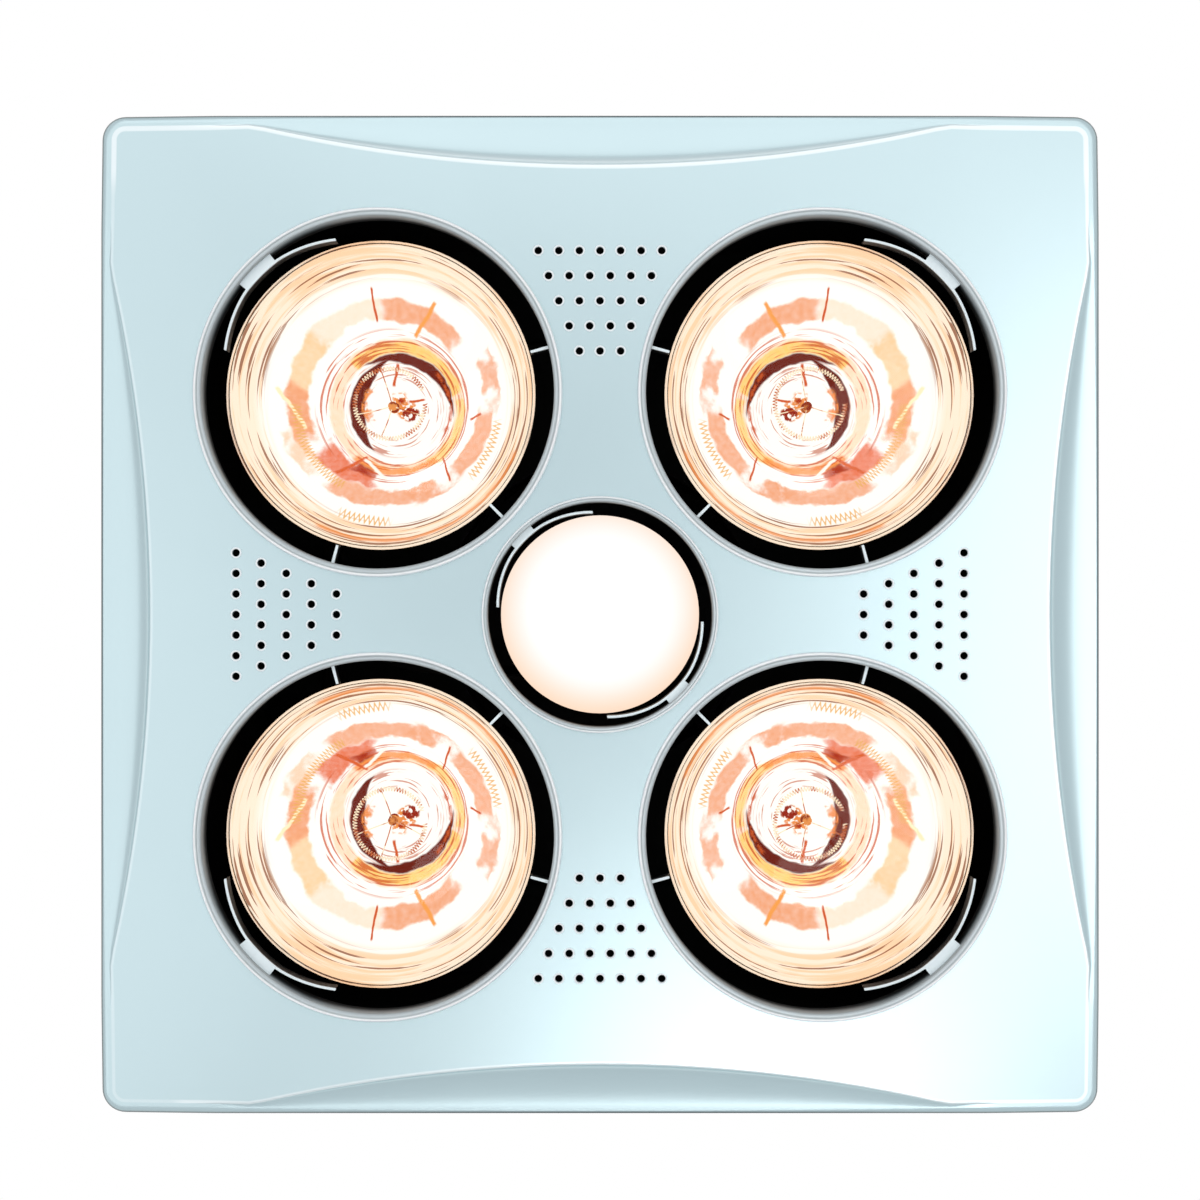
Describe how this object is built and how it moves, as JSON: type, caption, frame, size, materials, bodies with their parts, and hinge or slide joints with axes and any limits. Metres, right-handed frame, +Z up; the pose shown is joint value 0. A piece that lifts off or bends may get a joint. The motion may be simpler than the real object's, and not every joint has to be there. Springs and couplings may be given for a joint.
{
  "type": "bathroom ceiling heater",
  "caption": "Square ceiling unit with reflector heat lamps around a centre light, a vented fascia with scooped sides, and an extractor fan with a round duct spigot on top.",
  "frame": {"origin": "centre of the ceiling's underside, where the case's flange lies against it", "axes": "+Z up into the roof space, fascia facing -Z, terminal box on the -X side"},
  "size_m": [0.408, 0.4, 0.2859],
  "materials": {
    "cable_gland": "nylon",
    "case_box": "galvanised",
    "clamp_dog_1": "zinc plated",
    "clamp_dog_2": "zinc plated",
    "clamp_dog_3": "zinc plated",
    "clamp_dog_4": "zinc plated",
    "clamp_screw_1": "zinc plated",
    "clamp_screw_2": "zinc plated",
    "clamp_screw_3": "zinc plated",
    "clamp_screw_4": "zinc plated",
    "damper_pin": "drawn",
    "duct_spigot": "galvanised",
    "fascia_panel": "pale silver satin",
    "flap_left": "thin sheet",
    "flap_right": "thin sheet",
    "hanger_spring_left": "spring wire",
    "hanger_spring_right": "spring wire",
    "heat_lamp_1_cap": "screw cap",
    "heat_lamp_1_filament": "wire on a glass stem",
    "heat_lamp_1_glass": "reflector lamp glass",
    "heat_lamp_2_cap": "screw cap",
    "heat_lamp_2_filament": "wire on a glass stem",
    "heat_lamp_2_glass": "reflector lamp glass",
    "heat_lamp_3_cap": "screw cap",
    "heat_lamp_3_filament": "wire on a glass stem",
    "heat_lamp_3_glass": "reflector lamp glass",
    "heat_lamp_4_cap": "screw cap",
    "heat_lamp_4_filament": "wire on a glass stem",
    "heat_lamp_4_glass": "reflector lamp glass",
    "impeller": "moulded",
    "impeller_nut": "turned",
    "lampholder_heat_1": "glazed porcelain",
    "lampholder_heat_2": "glazed porcelain",
    "lampholder_heat_3": "glazed porcelain",
    "lampholder_heat_4": "glazed porcelain",
    "lampholder_light": "glazed porcelain",
    "lead_fan": "heat sleeve",
    "lead_heat_1": "heat sleeve",
    "lead_heat_2": "heat sleeve",
    "lead_heat_3": "heat sleeve",
    "lead_heat_4": "heat sleeve",
    "lead_light": "heat sleeve",
    "light_bracket": "galvanised",
    "light_lamp_cap": "screw cap",
    "light_lamp_filament": "wire on a glass stem",
    "light_lamp_glass": "reflector lamp glass",
    "motor_bracket": "galvanised",
    "motor_bridge": "galvanised",
    "motor_coil": "taped winding",
    "motor_stator": "dark laminations",
    "rotor_shaft": "turned",
    "socket_shell_heat_1": "threaded shell",
    "socket_shell_heat_2": "threaded shell",
    "socket_shell_heat_3": "threaded shell",
    "socket_shell_heat_4": "threaded shell",
    "socket_shell_light": "threaded shell",
    "terminal_block": "moulded",
    "terminal_box": "galvanised",
    "terminal_cover": "galvanised",
    "thermal_cutout": "pressed"
  },
  "bodies": {
    "case": {"cable_gland": "cable_gland", "case_box": "case_box", "damper_pin": "damper_pin", "duct_spigot": "duct_spigot", "lampholder_heat_1": "lampholder_heat_1", "lampholder_heat_2": "lampholder_heat_2", "lampholder_heat_3": "lampholder_heat_3", "lampholder_heat_4": "lampholder_heat_4", "lampholder_light": "lampholder_light", "lead_fan": "lead_fan", "lead_heat_1": "lead_heat_1", "lead_heat_2": "lead_heat_2", "lead_heat_3": "lead_heat_3", "lead_heat_4": "lead_heat_4", "lead_light": "lead_light", "light_bracket": "light_bracket", "motor_bracket": "motor_bracket", "motor_bridge": "motor_bridge", "motor_coil": "motor_coil", "motor_stator": "motor_stator", "socket_shell_heat_1": "socket_shell_heat_1", "socket_shell_heat_2": "socket_shell_heat_2", "socket_shell_heat_3": "socket_shell_heat_3", "socket_shell_heat_4": "socket_shell_heat_4", "socket_shell_light": "socket_shell_light", "terminal_block": "terminal_block", "terminal_box": "terminal_box", "terminal_cover": "terminal_cover", "thermal_cutout": "thermal_cutout"},
    "fascia": {"fascia_panel": "fascia_panel", "hanger_spring_left": "hanger_spring_left", "hanger_spring_right": "hanger_spring_right"},
    "fan_rotor": {"rotor_shaft": "rotor_shaft", "impeller": "impeller", "impeller_nut": "impeller_nut"},
    "flap_left": {"flap_left": "flap_left"},
    "flap_right": {"flap_right": "flap_right"},
    "clamp_screw_1": {"clamp_screw_1": "clamp_screw_1"},
    "clamp_dog_1": {"clamp_dog_1": "clamp_dog_1"},
    "clamp_screw_2": {"clamp_screw_2": "clamp_screw_2"},
    "clamp_dog_2": {"clamp_dog_2": "clamp_dog_2"},
    "clamp_screw_3": {"clamp_screw_3": "clamp_screw_3"},
    "clamp_dog_3": {"clamp_dog_3": "clamp_dog_3"},
    "clamp_screw_4": {"clamp_screw_4": "clamp_screw_4"},
    "clamp_dog_4": {"clamp_dog_4": "clamp_dog_4"},
    "heat_lamp_1": {"heat_lamp_1_glass": "heat_lamp_1_glass", "heat_lamp_1_cap": "heat_lamp_1_cap", "heat_lamp_1_filament": "heat_lamp_1_filament"},
    "heat_lamp_2": {"heat_lamp_2_glass": "heat_lamp_2_glass", "heat_lamp_2_cap": "heat_lamp_2_cap", "heat_lamp_2_filament": "heat_lamp_2_filament"},
    "heat_lamp_3": {"heat_lamp_3_glass": "heat_lamp_3_glass", "heat_lamp_3_cap": "heat_lamp_3_cap", "heat_lamp_3_filament": "heat_lamp_3_filament"},
    "heat_lamp_4": {"heat_lamp_4_glass": "heat_lamp_4_glass", "heat_lamp_4_cap": "heat_lamp_4_cap", "heat_lamp_4_filament": "heat_lamp_4_filament"},
    "light_lamp": {"light_lamp_glass": "light_lamp_glass", "light_lamp_cap": "light_lamp_cap", "light_lamp_filament": "light_lamp_filament"}
  },
  "joints": [
    {"name": "fascia_drop", "type": "slide", "parent": "case", "child": "fascia", "axis": [0, 0, -1], "range_m": [0, 0.045]},
    {"name": "fan_spin", "type": "hinge", "parent": "case", "child": "fan_rotor", "pos_m": [0, 0, 0.1953], "axis": [0, 0, 1], "continuous": true},
    {"name": "flap_left_swing", "type": "hinge", "parent": "case", "child": "flap_left", "pos_m": [0, 0, 0.2219], "axis": [0, 1, 0], "range_deg": [0, 80]},
    {"name": "flap_right_swing", "type": "hinge", "parent": "case", "child": "flap_right", "pos_m": [0, 0, 0.2219], "axis": [0, -1, 0], "range_deg": [0, 80]},
    {"name": "clamp_1_swing", "type": "hinge", "parent": "case", "child": "clamp_screw_1", "pos_m": [-0.176, -0.11, 0], "axis": [0, 0, 1], "range_deg": [-90, 0]},
    {"name": "clamp_1_travel", "type": "slide", "parent": "clamp_screw_1", "child": "clamp_dog_1", "axis": [0, 0, 1], "range_m": [0, 0.034]},
    {"name": "clamp_2_swing", "type": "hinge", "parent": "case", "child": "clamp_screw_2", "pos_m": [0.176, -0.11, 0], "axis": [0, 0, 1], "range_deg": [-90, 0]},
    {"name": "clamp_2_travel", "type": "slide", "parent": "clamp_screw_2", "child": "clamp_dog_2", "axis": [0, 0, 1], "range_m": [0, 0.034]},
    {"name": "clamp_3_swing", "type": "hinge", "parent": "case", "child": "clamp_screw_3", "pos_m": [-0.176, 0.11, 0], "axis": [0, 0, 1], "range_deg": [-90, 0]},
    {"name": "clamp_3_travel", "type": "slide", "parent": "clamp_screw_3", "child": "clamp_dog_3", "axis": [0, 0, 1], "range_m": [0, 0.034]},
    {"name": "clamp_4_swing", "type": "hinge", "parent": "case", "child": "clamp_screw_4", "pos_m": [0.176, 0.11, 0], "axis": [0, 0, 1], "range_deg": [-90, 0]},
    {"name": "clamp_4_travel", "type": "slide", "parent": "clamp_screw_4", "child": "clamp_dog_4", "axis": [0, 0, 1], "range_m": [0, 0.034]},
    {"name": "heat_lamp_1_turn", "type": "hinge", "parent": "case", "child": "heat_lamp_1", "pos_m": [-0.0886, -0.0886, 0], "axis": [0, 0, -1], "range_deg": [0, 720]},
    {"name": "heat_lamp_2_turn", "type": "hinge", "parent": "case", "child": "heat_lamp_2", "pos_m": [0.0886, -0.0886, 0], "axis": [0, 0, -1], "range_deg": [0, 720]},
    {"name": "heat_lamp_3_turn", "type": "hinge", "parent": "case", "child": "heat_lamp_3", "pos_m": [-0.0886, 0.0886, 0], "axis": [0, 0, -1], "range_deg": [0, 720]},
    {"name": "heat_lamp_4_turn", "type": "hinge", "parent": "case", "child": "heat_lamp_4", "pos_m": [0.0886, 0.0886, 0], "axis": [0, 0, -1], "range_deg": [0, 720]},
    {"name": "light_lamp_turn", "type": "hinge", "parent": "case", "child": "light_lamp", "pos_m": [0, 0, 0], "axis": [0, 0, -1], "range_deg": [0, 720]}
  ]
}
